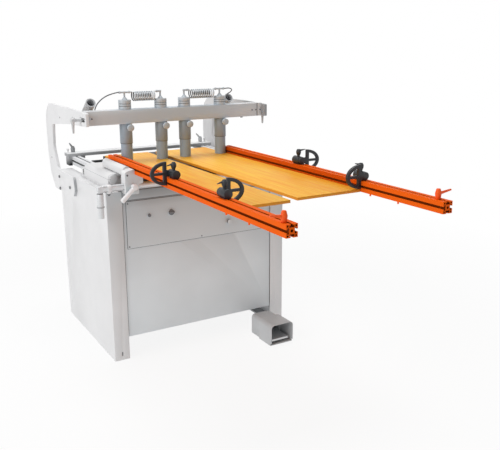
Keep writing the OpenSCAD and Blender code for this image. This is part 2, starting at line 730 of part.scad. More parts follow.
// Conduit tubes behind the beam, each on a strap from the beam's rear face.
// A mouth is given from the left side, behind the front and above the beam's underside.
conduit_at = [[64, 347, 103], [859, 347, 98]];
conduit_tilt = -124;
conduit_l = 96;
conduit_end = 8;
function conduit_mouth(i) = [left, front, beam_z] + conduit_at[i];
function conduit_dir() = [0, -sin(conduit_tilt), cos(conduit_tilt)];
module conduit(i) {
    p = conduit_mouth(i);
    rear = beam_mid_y + beam_s/2 + weld;
    difference() {
        union() {
            translate(p) rotate([conduit_tilt, 0, 0]) cylinder(d = conduit_d, h = conduit_l);
            block([p[0] - 16, rear, p[2] - 56], [p[0] + 4, p[1] + 46, p[2] - 50]);
            block([p[0] - 16, rear, p[2] - 96], [p[0] + 4, rear + 5, p[2] - 50]);
        }
        translate(p) rotate([conduit_tilt, 0, 0]) translate([0, 0, -1])
            cylinder(d = conduit_bore, h = conduit_l - conduit_end + 1);
    }
}
module conduit_tubes() color("#c3c5c8") for (i = [0, 1]) conduit(i);

// One air clamp: cap, stem, barrel and air port fitting
module clamp_fitting(i) {
    x = left + clamp_x[i];
    cap = beam_top + slip + clamp_cap_h;
    translate([x, beam_mid_y, cap - 0.1]) {
        cylinder(r1 = 16, r2 = 6, h = 13);
        translate([0, 0, 12]) cylinder(r = 4.5, h = port_z - cap - 12);
    }
    // outer clamps have a tee, inner ones an elbow that points at the coil
    reach = i == 0 ? [-28, 30] : i == 3 ? [-28, 28] : i == 1 ? [-22, 5] : [-5, 22];
    along_x([x + reach[0], beam_mid_y, port_z], 4.8, reach[1] - reach[0]);
    for (s = i == 1 ? [0] : i == 2 ? [1] : [0, 1])
        along_x([x + reach[s] - (s == 1 ? 7 : 0), beam_mid_y, port_z], 6.5, 7);
}
module clamp_barrel(i) color("#a7aaae") {
    x = left + clamp_x[i];
    difference() {
        union() {
            translate([x, beam_mid_y, barrel_z]) cylinder(r = clamp_r, h = clamp_drop - slip);
            translate([x, beam_mid_y, beam_z - 1]) cylinder(r = stem_r, h = beam_s + 2 + slip);
            translate([x, beam_mid_y, beam_top + slip]) difference() {
                cylinder(r = clamp_r, h = clamp_cap_h);
                for (z = [15, 27]) translate([0, 0, z]) difference() {
                    cylinder(r = clamp_r + 1, h = 2.6);
                    cylinder(r = clamp_r - 2.2, h = 2.6);
                }
            }
        }
        translate([x, beam_mid_y, barrel_z - 1])
            cylinder(r = foot_r + fit, h = bore_top - barrel_z + 1);
        along_y([x + 6, beam_mid_y - clamp_r - 2, knob_z], 5 + fit, 30);
    }
    clamp_fitting(i);
}
module clamp_foot(i) color("#7f838c")
    translate([left + clamp_x[i], beam_mid_y, board_z + slip]) {
        cylinder(r = foot_r, h = foot_top - board_z - slip);
    }
module clamp_knob(i) color("#9da0a4") {
    x = left + clamp_x[i] + 6;
    y = beam_mid_y - clamp_r;
    along_y([x, y - 30, knob_z], knob_d/2, 16);
    along_y([x, y - 15, knob_z], 8, 11);
    along_y([x, y - 5, knob_z], 5, 30);
}

// Coil hose between two air ports: straight ends, smooth leads and a regular coil
module coil_hose(x0, x1) {
    lead = 13;
    a0 = 50;
    a1 = 310;
    turns = coil_turns + (a1 - a0)/360 - 1;
    c0 = x0 + lead + hose_d/2;
    c1 = x1 - lead - hose_d/2;
    function on_coil(a, x) = [x, beam_mid_y + coil_r*sin(a), port_z - coil_r + coil_r*cos(a)];
    function along_coil(a) = unit([(c1 - c0)/turns, coil_r*2*PI*cos(a), -coil_r*2*PI*sin(a)]);
    start = on_coil(a0, c0);
    finish = on_coil(a0 + turns*360, c1);
    steps = ceil(turns*8);
    k = 11;
    path = concat(
        [[x0, beam_mid_y, port_z]],
        [for (s = [0:0.25:0.75]) bezier([x0 + hose_d, beam_mid_y, port_z],
            [x0 + hose_d + 6, beam_mid_y, port_z], start - k*along_coil(a0), start, s)],
        [for (i = [0:steps]) on_coil(a0 + turns*360*i/steps, c0 + (c1 - c0)*i/steps)],
        [for (s = [0.25:0.25:1]) bezier(finish, finish + k*along_coil(a1),
            [x1 - hose_d - 6, beam_mid_y, port_z], [x1 - hose_d, beam_mid_y, port_z], s)],
        [[x1, beam_mid_y, port_z]]);
    // least distance between rings more than a turn's half apart, less the tube
    near = min([for (i = [0:len(path)-1]) for (j = [i+4:1:min(i+12, len(path)-1)])
        norm(path[i] - path[j])]) - hose_d;
    echo(coil_gap = near);
    sweep_tube(path, hose_d/2, 6);
}
module left_coil_hose() color("#d0d2d4")
    coil_hose(left + clamp_x[0] + 30, left + clamp_x[1] - 22);
module right_coil_hose() color("#d0d2d4")
    coil_hose(left + clamp_x[2] + 22, left + clamp_x[3] - 28);

// Air hoses from the outer fittings: chosen points from the left side, front and floor,
// with straight first and last pieces that run square out of what holds them
left_route = [[174, 255, port_z], [148, 260, port_z - 6], [120, 269, port_z - 17],
    [98, 280, port_z - 33], [83, 296, port_z - 53], [75, 307, port_z - 72],
    [72, 315, port_z - 90], [75, 317, port_z - 106]];
right_route = [[788, 255, port_z], [816, 266, port_z], [840, 282, port_z - 6],
    [854, 303, port_z - 15], [855, 320, port_z - 25], [850, 333, port_z - 32],
    [845, 341, port_z - 39], [846, 349, port_z - 48]];
module air_hose(x0, route, last) {
    points = [for (q = route) [left + q[0], front + q[1], q[2]]];
    path = concat([[left + x0, beam_mid_y, port_z]], spline(concat(points, [last[0]]), 3), [last[1]]);
    sweep_tube(path, hose_d/2, 8);
}
module left_air_hose() color("#9fa2a5") {
    q = [left + hose_in[0], beam_mid_y + beam_s/2 + 9, hose_in[1]];
    air_hose(clamp_x[0] - 28, left_route, [q + [0, 8, 0], q]);
}
module right_air_hose() color("#9fa2a5") {
    d = conduit_dir();
    m = conduit_mouth(1) + [-6, 0, 0];
    air_hose(clamp_x[3] + 28, right_route, [m + 24*d, m + (conduit_l - conduit_end)*d]);
}

// Levers that clamp the beam's ends in the arm slots
module beam_lever(out, arm_l) {
    x = left - arm_t - slip;
    along_x([x - 8, stud_y, stud_z], 13, 8);
    along_x([x - out - 7, stud_y, stud_z], 9, out);
    along_x([x - out - 9, stud_y, stud_z], 14, 18);
    along_x([x - 7, stud_y, stud_z], stud_r, arm_t + 7 + 24);
    translate([x - out, stud_y, stud_z - 4]) rotate([180, 0, 0])
        cylinder(r1 = 9, r2 = 4.5, h = arm_l);
    translate([x - out, stud_y, stud_z + 12]) cylinder(r = 3.5, h = 5);
}
module beam_left_lever() color("#cfd1d3") beam_lever(43, 61);
module beam_right_lever() color("#cfd1d3") mirror([1, 0, 0]) beam_lever(17, 74);

// Fences: grooved profiles with small screws underneath and an end lever on top
module fence(x, tip, at) {
    translate([x + fence_s/2, tip + fence_l, fence_z + fence_s/2])
        difference() {
            rotate([90, 0, 0]) linear_extrude(fence_l) grooved_profile(fence_s);
            translate([at[0], at[1] - fence_l, 0]) cylinder(r = 5 + fit, h = fence_s);
        }
    for (y = [240, 405]) for (s = [-1, 1])
        translate([x + fence_s/2 + s*16, tip + y, fence_z - 9]) cylinder(r = 3.5, h = 9.1);
}
left_tip = front - fence_front;
right_tip = left_tip - fence_stagger;
left_lever_at = [-9, 33];      // from the fence's middle line and front end
right_lever_at = [0, 50];
module left_fence() color("#f4641e") fence(fence_left, left_tip, left_lever_at);
module right_fence() color("#f4641e") fence(fence_right, right_tip, right_lever_at);
module fence_lever(x, tip, at, turn, arm_l) color("#f4641e")
    translate([x + fence_s/2 + at[0], tip + at[1], fence_top + slip]) rotate([0, 0, turn])
        lever(12, 38, arm_l, 8, 5, 16, 0.5);
module left_fence_lever() fence_lever(fence_left, left_tip, left_lever_at, 0, 54);
module right_fence_lever() fence_lever(fence_right, right_tip, right_lever_at, 180, 64);

// Fence carrier: round-topped casting along the fence and a front block on the guide bar
carrier_w = 40;
carrier_rear = front + 290;
carrier_z = way_z + slip;
block_front = front - 60;
block_rear = front - 5;
handle_x = fence_left - 10;
handle_z = bar_z + 4;
carrier_mid_z = fence_z + 12;
module carrier() {
    r = carrier_w/2;
    cx = fence_left - r;
    difference() {
        union() {
            plate_xz(carrier_rear, carrier_rear - block_rear + 1) {
                translate([cx - r + 8, carrier_z]) square([carrier_w - 8, 7]);
                translate([cx - r, carrier_z + 5]) square([carrier_w, carrier_mid_z - carrier_z - 5]);
                translate([cx, carrier_mid_z]) circle(r = r);
            }
            plate_xz(block_rear, block_rear - block_front) polygon(rounded([
                [fence_left - 49, cab_h - 6, 5], [fence_left + 18, cab_h - 6, 5],
                [fence_left + 18, cab_h + 40, 4], [fence_left + 40, cab_h + 44, 6],
                [fence_left + 40, fence_z - slip, 3], [fence_left - slip, fence_z - slip, 0],
                [fence_left - slip, fence_z + 26, 6], [fence_left - 49, fence_z + 14, 14]]));
        }
        along_x([fence_left - 60, bar_axis_y, bar_z], bar_r + fit, 120);
        along_y([handle_x, block_front - 1, handle_z], 6 + fit, bar_y + 2);
    }
    // screw heads on the block
    along_y([fence_left + 8, block_front - 1.5, bar_z - 20], 4.5, 1.6);
    along_y([fence_left - 38, block_front - 1.5, fence_z - 2], 4.5, 1.6);
}
module left_carrier() color("#eeeef0") carrier();
module right_carrier() color("#eeeef0") to_right_fence() carrier();
module left_carrier_handle() color("#f2f2f3") {
    along_y([handle_x, block_front - 30, handle_z], 14, 30 - slip);
    along_y([handle_x, block_front - 1, handle_z], 6, bar_y - bar_r - slip + 1);
    translate([handle_x, block_front - 19, handle_z]) rotate([0, -134, 0]) {
        cylinder(r1 = 10, r2 = 12, h = 88);
        translate([0, 0, 88]) cylinder(r1 = 12, r2 = 8, h = 5);
    }
}

// Flip stops: body on the fence, and a D-shaped plate that turns about the body's axis
function stop_x(i) = (i < 2 ? fence_left : fence_right) + fence_s/2;
function body_side(i) = i >= 2 ? 1 : -1;       // body behind (1) or in front (-1) of the plate
module stop_base(i) color("#26282b") {
    x = stop_x(i);
    s = body_side(i);
    y0 = front - stop_y[i] + (s > 0 ? paddle_t/2 + slip : -paddle_t/2 - slip - stop_l);
    kn = y0 + stop_l*(s > 0 ? 0.42 : 0.58);
    difference() {
        union() {
            along_y([x, y0, pivot_z], stop_d/2, stop_l);
            block([x - 12, y0 + 4, fence_top + slip], [x + 12, y0 + stop_l - 4, pivot_z]);
        }
        along_y([x, y0 - 1 + (s > 0 ? 0 : stop_l - 21), pivot_z], 6 + fit, 22);
    }
    translate([x, kn, pivot_z + stop_d/2 - 3]) {
        cylinder(r = 7, h = 9);
        translate([0, 0, 8]) cylinder(r1 = 8, r2 = 11.5, h = 10);
        translate([0, 0, 18]) cylinder(r = 11.5, h = 10);
        translate([0, 0, 28]) cylinder(r1 = 11.5, r2 = 7, h = 8);
        translate([0, 0, 29]) rotate([0, i < 2 ? -102 : -78, i == 2 ? 150 : 0])
            cylinder(r1 = 6, r2 = 1.5, h = 32);
    }
}
module half_oval(x, l, h) polygon([for (a = [-90:6:90]) [x + l*cos(a), h*sin(a)]]);
module paddle_shape() {
    bar_in = fence_s/2 + 0.6;
    bar_w = 15;
    rim = 14;
    difference() {
        union() {
            circle(r = stop_d/2 - 1);
            translate([0, -14]) square([bar_in + 2, 28]);
            half_oval(bar_in, paddle_l, paddle_r);
        }
        difference() {
            intersection() {
                half_oval(bar_in, paddle_l - rim, paddle_r - rim);
                translate([bar_in + bar_w, -paddle_r]) square([2*paddle_l, 2*paddle_r]);
            }
            translate([0, -5.5]) square([bar_in + paddle_l, 11]);
        }
    }
}
// The plate lies on the outer side of the fence (turned) or over the boards
module stop_paddle(i, outward) color("#33363a") {
    x = stop_x(i);
    y = front - stop_y[i];
    s = body_side(i);
    translate([x, y + paddle_t/2, pivot_z]) rotate([90, 0, 0]) linear_extrude(paddle_t)
        mirror([outward ? 1 : 0, 0]) paddle_shape();
    along_y([x, s > 0 ? y + paddle_t/2 - 1 : y - paddle_t/2 - 19, pivot_z], 6, 20);
}
module stop_1_paddle() stop_paddle(0, true);
module stop_2_paddle() stop_paddle(1, false);
module stop_3_paddle() stop_paddle(2, false);
module stop_4_paddle() stop_paddle(3, true);
module stop_1_base() stop_base(0);
module stop_2_base() stop_base(1);
module stop_3_base() stop_base(2);
module stop_4_base() stop_base(3);

module clamp_1_barrel() clamp_barrel(0);
module clamp_2_barrel() clamp_barrel(1);
module clamp_3_barrel() clamp_barrel(2);
module clamp_4_barrel() clamp_barrel(3);
module clamp_1_foot() clamp_foot(0);
module clamp_2_foot() clamp_foot(1);
module clamp_3_foot() clamp_foot(2);
module clamp_4_foot() clamp_foot(3);
module clamp_1_knob() clamp_knob(0);
module clamp_2_knob() clamp_knob(1);
module clamp_3_knob() clamp_knob(2);
module clamp_4_knob() clamp_knob(3);

// Drilling head: gearbox with its chucks and drills, guide lugs, piston rod and drive motor
module drill(i) translate([spindle_x(i), mid_y, box_top]) {
    cylinder(d = chuck_d, h = chuck_l);
    if (board_over(spindle_x(i), bit_d/2 + 2)) {
        translate([0, 0, chuck_l - 1]) cylinder(d = bit_d, h = bit_l - 2);
        translate([0, 0, chuck_l + bit_l - 3]) cylinder(r1 = bit_d/2, r2 = 1, h = 3);
    }
}
middle = (spindle_n - 1)/2;
module drill_head() color("#8b8f94") {
    lug_top = frame_top - tube_s - feed - 4;
    lug_low = lug_top - 60;
    difference() {
        union() {
            block([head_mid - head_l/2, mid_y - head_w/2, box_top - box_h],
                [head_mid + head_l/2, mid_y + head_w/2, box_top]);
            for (s = [-1, 1]) {
                translate([head_mid + s*column_off, column_y, lug_low])
                    cylinder(r = column_d/2 + 10, h = lug_top - lug_low);
                block([head_mid + s*column_off - 20, mid_y + head_w/2 - 1, lug_low],
                    [head_mid + s*column_off + 20, column_y, lug_top]);
                block([head_mid + s*column_off - 20, mid_y - 20, lug_low],
                    [head_mid + s*column_off + 20, mid_y + head_w/2, box_top - box_h + 1]);
            }
            for (i = [0:spindle_n-1]) if (i != middle)
                translate([0, 0, -0.1]) drill(i);
        }
        for (s = [-1, 1]) translate([head_mid + s*column_off, column_y, lug_low - 1])
            cylinder(r = column_d/2 + fit, h = lug_top - lug_low + 2);
        translate([head_mid, mid_y, box_top - 50]) cylinder(r = 9 + fit, h = 51);
    }
    translate([head_mid, mid_y, bridge_z + bridge_t + weld + cylinder_h - 120])
        cylinder(r = rod_r, h = box_top - box_h + 1 - (bridge_z + bridge_t + weld + cylinder_h - 120));
    translate([head_mid - 170, mid_y, box_top - box_h]) rotate([180, 0, 0]) {
        cylinder(d = motor_d + 20, h = 14);
        translate([0, 0, 13]) cylinder(d = motor_d, h = 200);
        translate([0, 0, 212]) cylinder(d = motor_d - 16, h = 30);
    }
}
module centre_spindle() color("#b0b3b6") translate([0, 0, slip]) {
    drill(middle);
    translate([spindle_x(middle), mid_y, box_top - 49]) cylinder(r = 9, h = 50);
}

left_side_panel();
right_side_panel();
inner_frame();
control_panel();
lower_front_panel();
rear_panel();
frame_fasteners();
left_arm();
right_arm();
table_bed();
work_boards();
side_ways();
rear_rails();
guide_bar();
guide_brackets();
start_button();
selector_knob();
stop_button();
pedal_hood();
pedal_plate();
rear_crossbar();
crossbar_left_lever();
crossbar_right_lever();
clamp_beam();
conduit_tubes();
left_air_hose();
right_air_hose();
left_coil_hose();
right_coil_hose();
beam_left_lever();
beam_right_lever();
clamp_1_barrel();
clamp_2_barrel();
clamp_3_barrel();
clamp_4_barrel();
clamp_1_foot();
clamp_2_foot();
clamp_3_foot();
clamp_4_foot();
clamp_1_knob();
clamp_2_knob();
clamp_3_knob();
clamp_4_knob();
left_fence();
right_fence();
left_carrier();
right_carrier();
left_carrier_handle();
left_fence_lever();
right_fence_lever();
stop_1_base();
stop_2_base();
stop_3_base();
stop_4_base();
stop_1_paddle();
stop_2_paddle();
stop_3_paddle();
stop_4_paddle();
drill_head();
centre_spindle();
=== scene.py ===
# %% [markdown]
# A multi-spindle boring machine: a sheet-metal cabinet with a drilling head inside, a table,
# two long side fences with flip stops, and a beam with four air clamps over the table.
# The CAD parts come in as a fixed frame in metres. This lesson gives each of them its real
# finish, rounds the edges that catch light, and makes the hoses as smooth tubes.

# %% Load the frame
import json
import math

import bmesh
import bpy
from mathutils import Matrix, Vector


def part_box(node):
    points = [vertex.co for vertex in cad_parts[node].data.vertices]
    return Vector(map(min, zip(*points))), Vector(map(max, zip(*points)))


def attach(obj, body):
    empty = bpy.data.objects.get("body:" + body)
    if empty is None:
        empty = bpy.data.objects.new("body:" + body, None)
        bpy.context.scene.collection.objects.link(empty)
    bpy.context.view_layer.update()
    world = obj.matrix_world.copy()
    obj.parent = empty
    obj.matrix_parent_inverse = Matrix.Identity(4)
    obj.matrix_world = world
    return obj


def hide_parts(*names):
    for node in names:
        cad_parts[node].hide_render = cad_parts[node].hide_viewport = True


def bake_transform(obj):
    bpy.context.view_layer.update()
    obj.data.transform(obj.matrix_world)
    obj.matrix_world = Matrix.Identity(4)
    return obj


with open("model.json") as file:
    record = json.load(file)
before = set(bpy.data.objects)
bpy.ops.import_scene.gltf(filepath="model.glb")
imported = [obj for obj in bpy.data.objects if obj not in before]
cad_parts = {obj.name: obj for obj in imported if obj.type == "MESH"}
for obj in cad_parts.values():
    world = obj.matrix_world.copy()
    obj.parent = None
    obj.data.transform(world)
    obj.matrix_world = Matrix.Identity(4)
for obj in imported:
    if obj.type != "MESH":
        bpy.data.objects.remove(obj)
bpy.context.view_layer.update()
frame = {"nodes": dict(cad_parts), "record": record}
nodes = frame["nodes"]


# %% [markdown]
# Shader maths reads best as Python: a small class wraps a socket and overloads the operators,
# so that an expression on values adds its own Math nodes. A second class builds one finish,
# with one method for every other node. All patterns use Object coordinates, which are metres
# here, so a scale of 100 means a detail of about a centimetre.

# %% A number that changes over the surface
class Value:
    def __init__(self, tree, socket):
        self.tree, self.socket = tree, socket

    def math(self, operation, first, second):
        node = self.tree.nodes.new("ShaderNodeMath")
        node.operation = operation
        for slot, item in zip(node.inputs, (first, second)):
            connect(self.tree, slot, item)
        return Value(self.tree, node.outputs[0])

    def __add__(self, other):
        return self.math("ADD", self, other)

    def __sub__(self, other):
        return self.math("SUBTRACT", self, other)

    def __rsub__(self, other):
        return self.math("SUBTRACT", other, self)

    def __mul__(self, other):
        return self.math("MULTIPLY", self, other)

    def __pow__(self, other):
        return self.math("POWER", self, other)

    def size(self):
        return self.math("ABSOLUTE", self, None)

    def least(self, other):
        return self.math("MINIMUM", self, other)

    def most(self, other):
        return self.math("MAXIMUM", self, other)

    def over(self, limit):
        return self.math("GREATER_THAN", self, limit)

    def under(self, limit):
        return self.math("LESS_THAN", self, limit)


def connect(tree, slot, item):
    if isinstance(item, Value):
        tree.links.new(item.socket, slot)
    elif item is not None:
        slot.default_value = item


# %% A finish under construction
def as_seen(red, green, blue):
    """A colour as a picture shows it, 0 to 255, in Blender's linear numbers."""
    def linear(c):
        c = c / 255
        return c / 12.92 if c <= 0.04045 else ((c + 0.055) / 1.055) ** 2.4
    return (linear(red), linear(green), linear(blue), 1.0)


def shade(colour, factor):
    return tuple(min(1.0, c * factor) for c in colour[:3]) + (1.0,)


# nearly all values of a noise lie between these two
NOISE = (0.3, 0.7)


class Finish:
    def __init__(self, name):
        self.material = bpy.data.materials.new(name)
        self.material.use_nodes = True
        self.tree = self.material.node_tree
        self.tree.nodes.clear()
        self.shader = self.tree.nodes.new("ShaderNodeBsdfPrincipled")
        output = self.tree.nodes.new("ShaderNodeOutputMaterial")
        self.tree.links.new(self.shader.outputs[0], output.inputs[0])
        place = self.tree.nodes.new("ShaderNodeTexCoord")
        self.place = Value(self.tree, place.outputs["Object"])

    def node(self, kind, settings=None, output=0, **sockets):
        """Adds one node: its settings first, then values or links for its sockets, which are
        called by name or, as i0, i1 and so on, by place."""
        node = self.tree.nodes.new(kind)
        for key, item in (settings or {}).items():
            setattr(node, key, item)
        for key, item in sockets.items():
            by_place = key[0] == "i" and key[1:].isdigit()
            slot = node.inputs[int(key[1:]) if by_place else key.replace("_", " ")]
            connect(self.tree, slot, item)
        return Value(self.tree, node.outputs[output])

    def stretched(self, x, y, z):
        return self.node("ShaderNodeMapping", Vector=self.place, Scale=(x, y, z))

    def noise(self, scale, detail=3.0, stretch=(1, 1, 1), roughness=0.5):
        return self.node("ShaderNodeTexNoise", Vector=self.stretched(*stretch), Scale=scale,
                         Detail=detail, Roughness=roughness)

    def spread(self, value, low, high, to_low=0.0, to_high=1.0):
        return self.node("ShaderNodeMapRange", i0=value, i1=low, i2=high, i3=to_low, i4=to_high)

    def mix(self, factor, first, second):
        mixer = self.tree.nodes.new("ShaderNodeMix")
        mixer.data_type = "RGBA"
        connect(self.tree, mixer.inputs[0], factor)
        connect(self.tree, mixer.inputs[6], first)
        connect(self.tree, mixer.inputs[7], second)
        return Value(self.tree, mixer.outputs[2])

    def axis(self, which):
        parts = self.tree.nodes.new("ShaderNodeSeparateXYZ")
        self.tree.links.new(self.place.socket, parts.inputs[0])
        return Value(self.tree, parts.outputs["XYZ".index(which)])

    def bump(self, height, strength, distance):
        self.set(Normal=self.node("ShaderNodeBump", Height=height, Strength=strength,
                                  Distance=distance))

    def banded(self, colour, bands):
        """Gives what lies between two places on one or more axes another tone."""
        for tone, limits in bands:
            inside = 1.0
            for axis, (low, high) in limits.items():
                inside = self.axis(axis).over(low) * self.axis(axis).under(high) * inside
            colour = self.mix(inside, colour, as_seen(*tone))
        return colour

    def facing_front(self):
        """1 on faces that look forward, along -Y, and 0 on those that look elsewhere."""
        geometry = self.tree.nodes.new("ShaderNodeNewGeometry")
        parts = self.tree.nodes.new("ShaderNodeSeparateXYZ")
        self.tree.links.new(geometry.outputs["Normal"], parts.inputs[0])
        return self.spread(Value(self.tree, parts.outputs[1]), -0.3, -0.9)

    def set(self, **sockets):
        for key, item in sockets.items():
            connect(self.tree, self.shader.inputs[key.replace("_", " ")], item)
        return self


# %% [markdown]
# Powder coat on sheet metal is matt to satin with a faint orange peel a millimetre or two
# across, and a large panel is never quite even: its tone drifts a little over a hand's width.
# A fine noise feeds the bump and the roughness, and a coarse one feeds the tone.
# Some shade is painted into the colour, so that it stays when a part moves: a sheet gets a
# painted shade toward the table's edge, faces that look forward can get a painted shade over a
# range of heights, and the narrow gaps round a plate are dark bands of painted shade along its
# rims. Small screw heads are darker spots of bare metal, and the bottoms of pockets are darker
# spots of painted shade.

# %% Powder coat
def powder_coat(name, colour, roughness=0.42, peel=0.12, drift=0.03, screws=(), cap=None,
                fades=(), pockets=(), bands=(), front_fades=()):
    f = Finish(name)
    base = as_seen(*colour)
    tone = f.noise(5, detail=2)
    speck = f.noise(900, detail=1)
    mask = f.spread(tone + (speck - 0.5) * 0.25, *NOISE)
    colour = f.mix(mask, shade(base, 1 - drift), shade(base, 1 + drift))
    if cap:
        colour = f.mix(f.axis("Z").over(cap[0]), colour, as_seen(*cap[1]))
    # fades: a tone that changes along one axis; on the sheets, the right arm and the crossbar it
    # is painted shade
    for axis, start, end, tone in fades:
        colour = f.mix(f.spread(f.axis(axis), start, end), colour, as_seen(*tone))
    # front_fades: painted shade on the faces that look forward, over a range along one axis
    for axis, start, end, tone in front_fades:
        there = f.spread(f.axis(axis), start, end) * f.facing_front()
        colour = f.mix(there, colour, as_seen(*tone))
    colour = f.banded(colour, bands)
    # pockets: a dark spot of painted shade at the bottom of each pocket
    for x, y, z, size in pockets:
        from_middle = ((f.axis("X") - x) ** 2 + (f.axis("Y") - y) ** 2
                       + (f.axis("Z") - z) ** 2)
        colour = f.mix(from_middle.under(size * size), colour, as_seen(52, 53, 55))
    for x, y, z, size in screws:
        # bare screw heads: a disc round the screw's middle, in front of the sheet only
        across, high = f.axis("X") - x, f.axis("Z") - z
        disc = (across * across + high * high).under(size * size) * f.axis("Y").under(y)
        colour = f.mix(disc, colour, as_seen(96, 98, 101))
    f.set(Base_Color=colour,
          Roughness=f.spread(f.noise(260), *NOISE, roughness - 0.05, roughness + 0.06),
          Specular_IOR_Level=0.45)
    f.bump(f.noise(520, detail=2), peel, 0.0004)
    return f.material


WHITE, ENAMEL, SHEET = (232, 232, 233), (233, 233, 234), (226, 231, 234)
DARK, EDGE_SHADE, SHADE_GREY = (46, 47, 49), (88, 89, 91), (176, 178, 180)
BEYOND_RIM = 0.001


def rims(box, axis, width, ends=(0, 1)):
    """Dark bands along a plate's rims across one axis: 0 is its low rim, 1 its high one."""
    bands = []
    for end in ends:
        rim = box[end]["XYZ".index(axis)]
        span = (rim - width, rim + BEYOND_RIM) if end else (rim - BEYOND_RIM, rim + width)
        bands.append((EDGE_SHADE, {axis: span}))
    return bands


# painted shade: the white panels' faces that look forward get darker toward the top
white_paint = powder_coat("white powder coat", WHITE,
                          front_fades=[("Z", 0.3, 0.86, (208, 212, 214))])
ARM_OUTSIDE, ARM_HOLE = -0.5075, 0.0086
# painted shade: the left arm's forward faces darken below 0.9 m, and its two holes are dark spots
left_arm_paint = powder_coat("white powder coat on the left arm", WHITE,
                             front_fades=[("Z", 0.9, 0.85, (168, 171, 173))],
                             pockets=[(ARM_OUTSIDE, 0.268, 1.173, ARM_HOLE),
                                      (ARM_OUTSIDE, 0.5, 0.925, ARM_HOLE)])
# painted shade: the right arm is a darker copy of the white paint, darker still toward its front
arm_paint = powder_coat("white powder coat in the beam's shade", (222, 222, 223),
                        fades=[("Y", 0.25, 0.0, SHADE_GREY), ("Y", -0.05, -0.17, (158, 160, 162))])
carrier_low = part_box("left_carrier")[0]
# painted shade: castings' forward faces above 0.86 m, and a dark band where a carrier sits
casting_white = powder_coat("white enamel on castings", ENAMEL, 0.33, 0.2, 0.025,
                            front_fades=[("Z", 0.85, 0.86, (207, 216, 219))],
                            bands=[((74, 75, 77), {"Z": (0.94, 0.9488), "Y": (-0.385, 0)})],
                            screws=[(-0.411, carrier_low[1] + 0.0012, 0.957, 0.0048)])
# painted shade: a dark band low on the brackets, near the cabinet's top
bracket_white = powder_coat("white enamel on the bar's brackets", ENAMEL, 0.33, 0.2,
                            0.025, bands=[(DARK, {"Z": (0.86, 0.8732)})])
# painted shade: a dark patch low at the front, and a grey line on the left way's rounded side
way_white = powder_coat("white enamel on the slideways", ENAMEL, 0.33, 0.2, 0.025,
                        bands=[(DARK, {"Z": (0.8829, 0.8921), "Y": (-0.32, -0.2938)}),
                               (SHADE_GREY, {"Z": (0.9194, 0.9214), "X": (-0.47, -0.447)})],
                        # painted shade: three dark spots, one above the other, fill one upright
                        # oval pocket
                        pockets=[(side * 0.454, 0.08, z, 0.0095)
                                 for side in (-1, 1) for z in (0.889, 0.898, 0.907)])
# painted shade: UNDER_TABLE darkens the sheets toward the top, under the table's overhang
UNDER_TABLE = [("Z", 0.4, 0.8, (193, 199, 203)), ("Z", 0.78, 0.84, (166, 171, 174))]
sheet_grey = powder_coat("light grey powder coat", SHEET, fades=UNDER_TABLE,
                         bands=rims(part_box("lower_front_panel"), "X", 0.003))
rear_grey = powder_coat("light grey powder coat on the rear panel", (219, 220, 222))
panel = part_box("control_panel")
PANEL_FACE, PANEL_RIM, PANEL_SCREW = -0.388, 0.0018, 0.0036
control_grey = powder_coat("control panel grey", SHEET, 0.45, fades=UNDER_TABLE,
                           bands=rims(panel, "X", PANEL_RIM, (0,)) + rims(panel, "Z", PANEL_RIM),
                           screws=[(x, PANEL_FACE - 0.0002, z, PANEL_SCREW)
                                   for x in (panel[0][0] + 0.01, 0.002, panel[1][0] - 0.01)
                                   for z in (panel[0][2] + 0.011, panel[1][2] - 0.012)])
frame_grey = powder_coat("frame paint", (170, 172, 174), 0.5, 0.2)
beam_low, beam_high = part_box("clamp_beam")
BLOCK_START, BEAM_SCREW = beam_high[0] - 0.028, 0.0041
# a little blue in the middle, where the fences and boards throw orange light on it
# painted shade: a dark band in the groove before the end block, and one at 1.15 to 1.166 m
beam_grey = powder_coat("beam grey", (201, 211, 220), 0.4, 0.1,
                        fades=[("X", 0.2, 0.42, (217, 217, 218)),
                               ("X", -0.25, -0.42, (211, 213, 215))],
                        bands=[(DARK, {"X": (BLOCK_START - 0.0041, BLOCK_START + 0.0001)}),
                               ((84, 85, 87), {"Z": (1.15, 1.1659)})],
                        screws=[(x, beam_low[1] + 0.0014, beam_low[2] + 0.042, BEAM_SCREW)
                                for x in (-0.476, 0.437, 0.461, 0.488)])
pedal_grey = powder_coat("pedal hood grey", (186, 188, 190), 0.4, 0.25)
CROSSBAR_TOP = 0.937 + 0.0165
# painted light and shade: a lighter top face, and faces darker toward the bottom
crossbar_grey = powder_coat("crossbar grey", (172, 173, 175), 0.4,
                            cap=(CROSSBAR_TOP, (228, 229, 230)),
                            fades=[("Z", 0.93, 0.895, DARK)])
lever_light = powder_coat("light lever enamel", (206, 207, 208), 0.32)


# %% [markdown]
# Drawn and anodised metal shows faint lines along the way it left the die or the grinder.
# A noise that is squeezed across the lines and stretched along them gives such lines, for the
# tone, the roughness and a very shallow bump. The clamps are a little blue, because the orange
# fences and the boards throw warm light on them.

# %% Drawn metal
def drawn_metal(name, colour, along, metallic=0.85, roughness=0.36, contrast=0.07, bump=0.12,
                cap=None, bands=()):
    f = Finish(name)
    base = as_seen(*colour)
    stretch = tuple(0.02 if axis == along else 1.0 for axis in "XYZ")
    lines = f.noise(1400, detail=3, stretch=stretch)
    cloud = f.noise(9, detail=2)
    mask = f.spread(lines * 0.7 + cloud * 0.3, *NOISE)
    colour = f.mix(mask, shade(base, 1 - contrast), shade(base, 1 + contrast))
    if cap:
        height, tone = cap
        colour = f.mix(f.axis("Z").over(height), colour, as_seen(*tone))
    colour = f.banded(colour, bands)
    f.set(Base_Color=colour,
          Roughness=f.spread(lines, *NOISE, roughness - 0.07, roughness + 0.08),
          Metallic=metallic)
    f.bump(lines, bump, 0.0003)
    return f.material


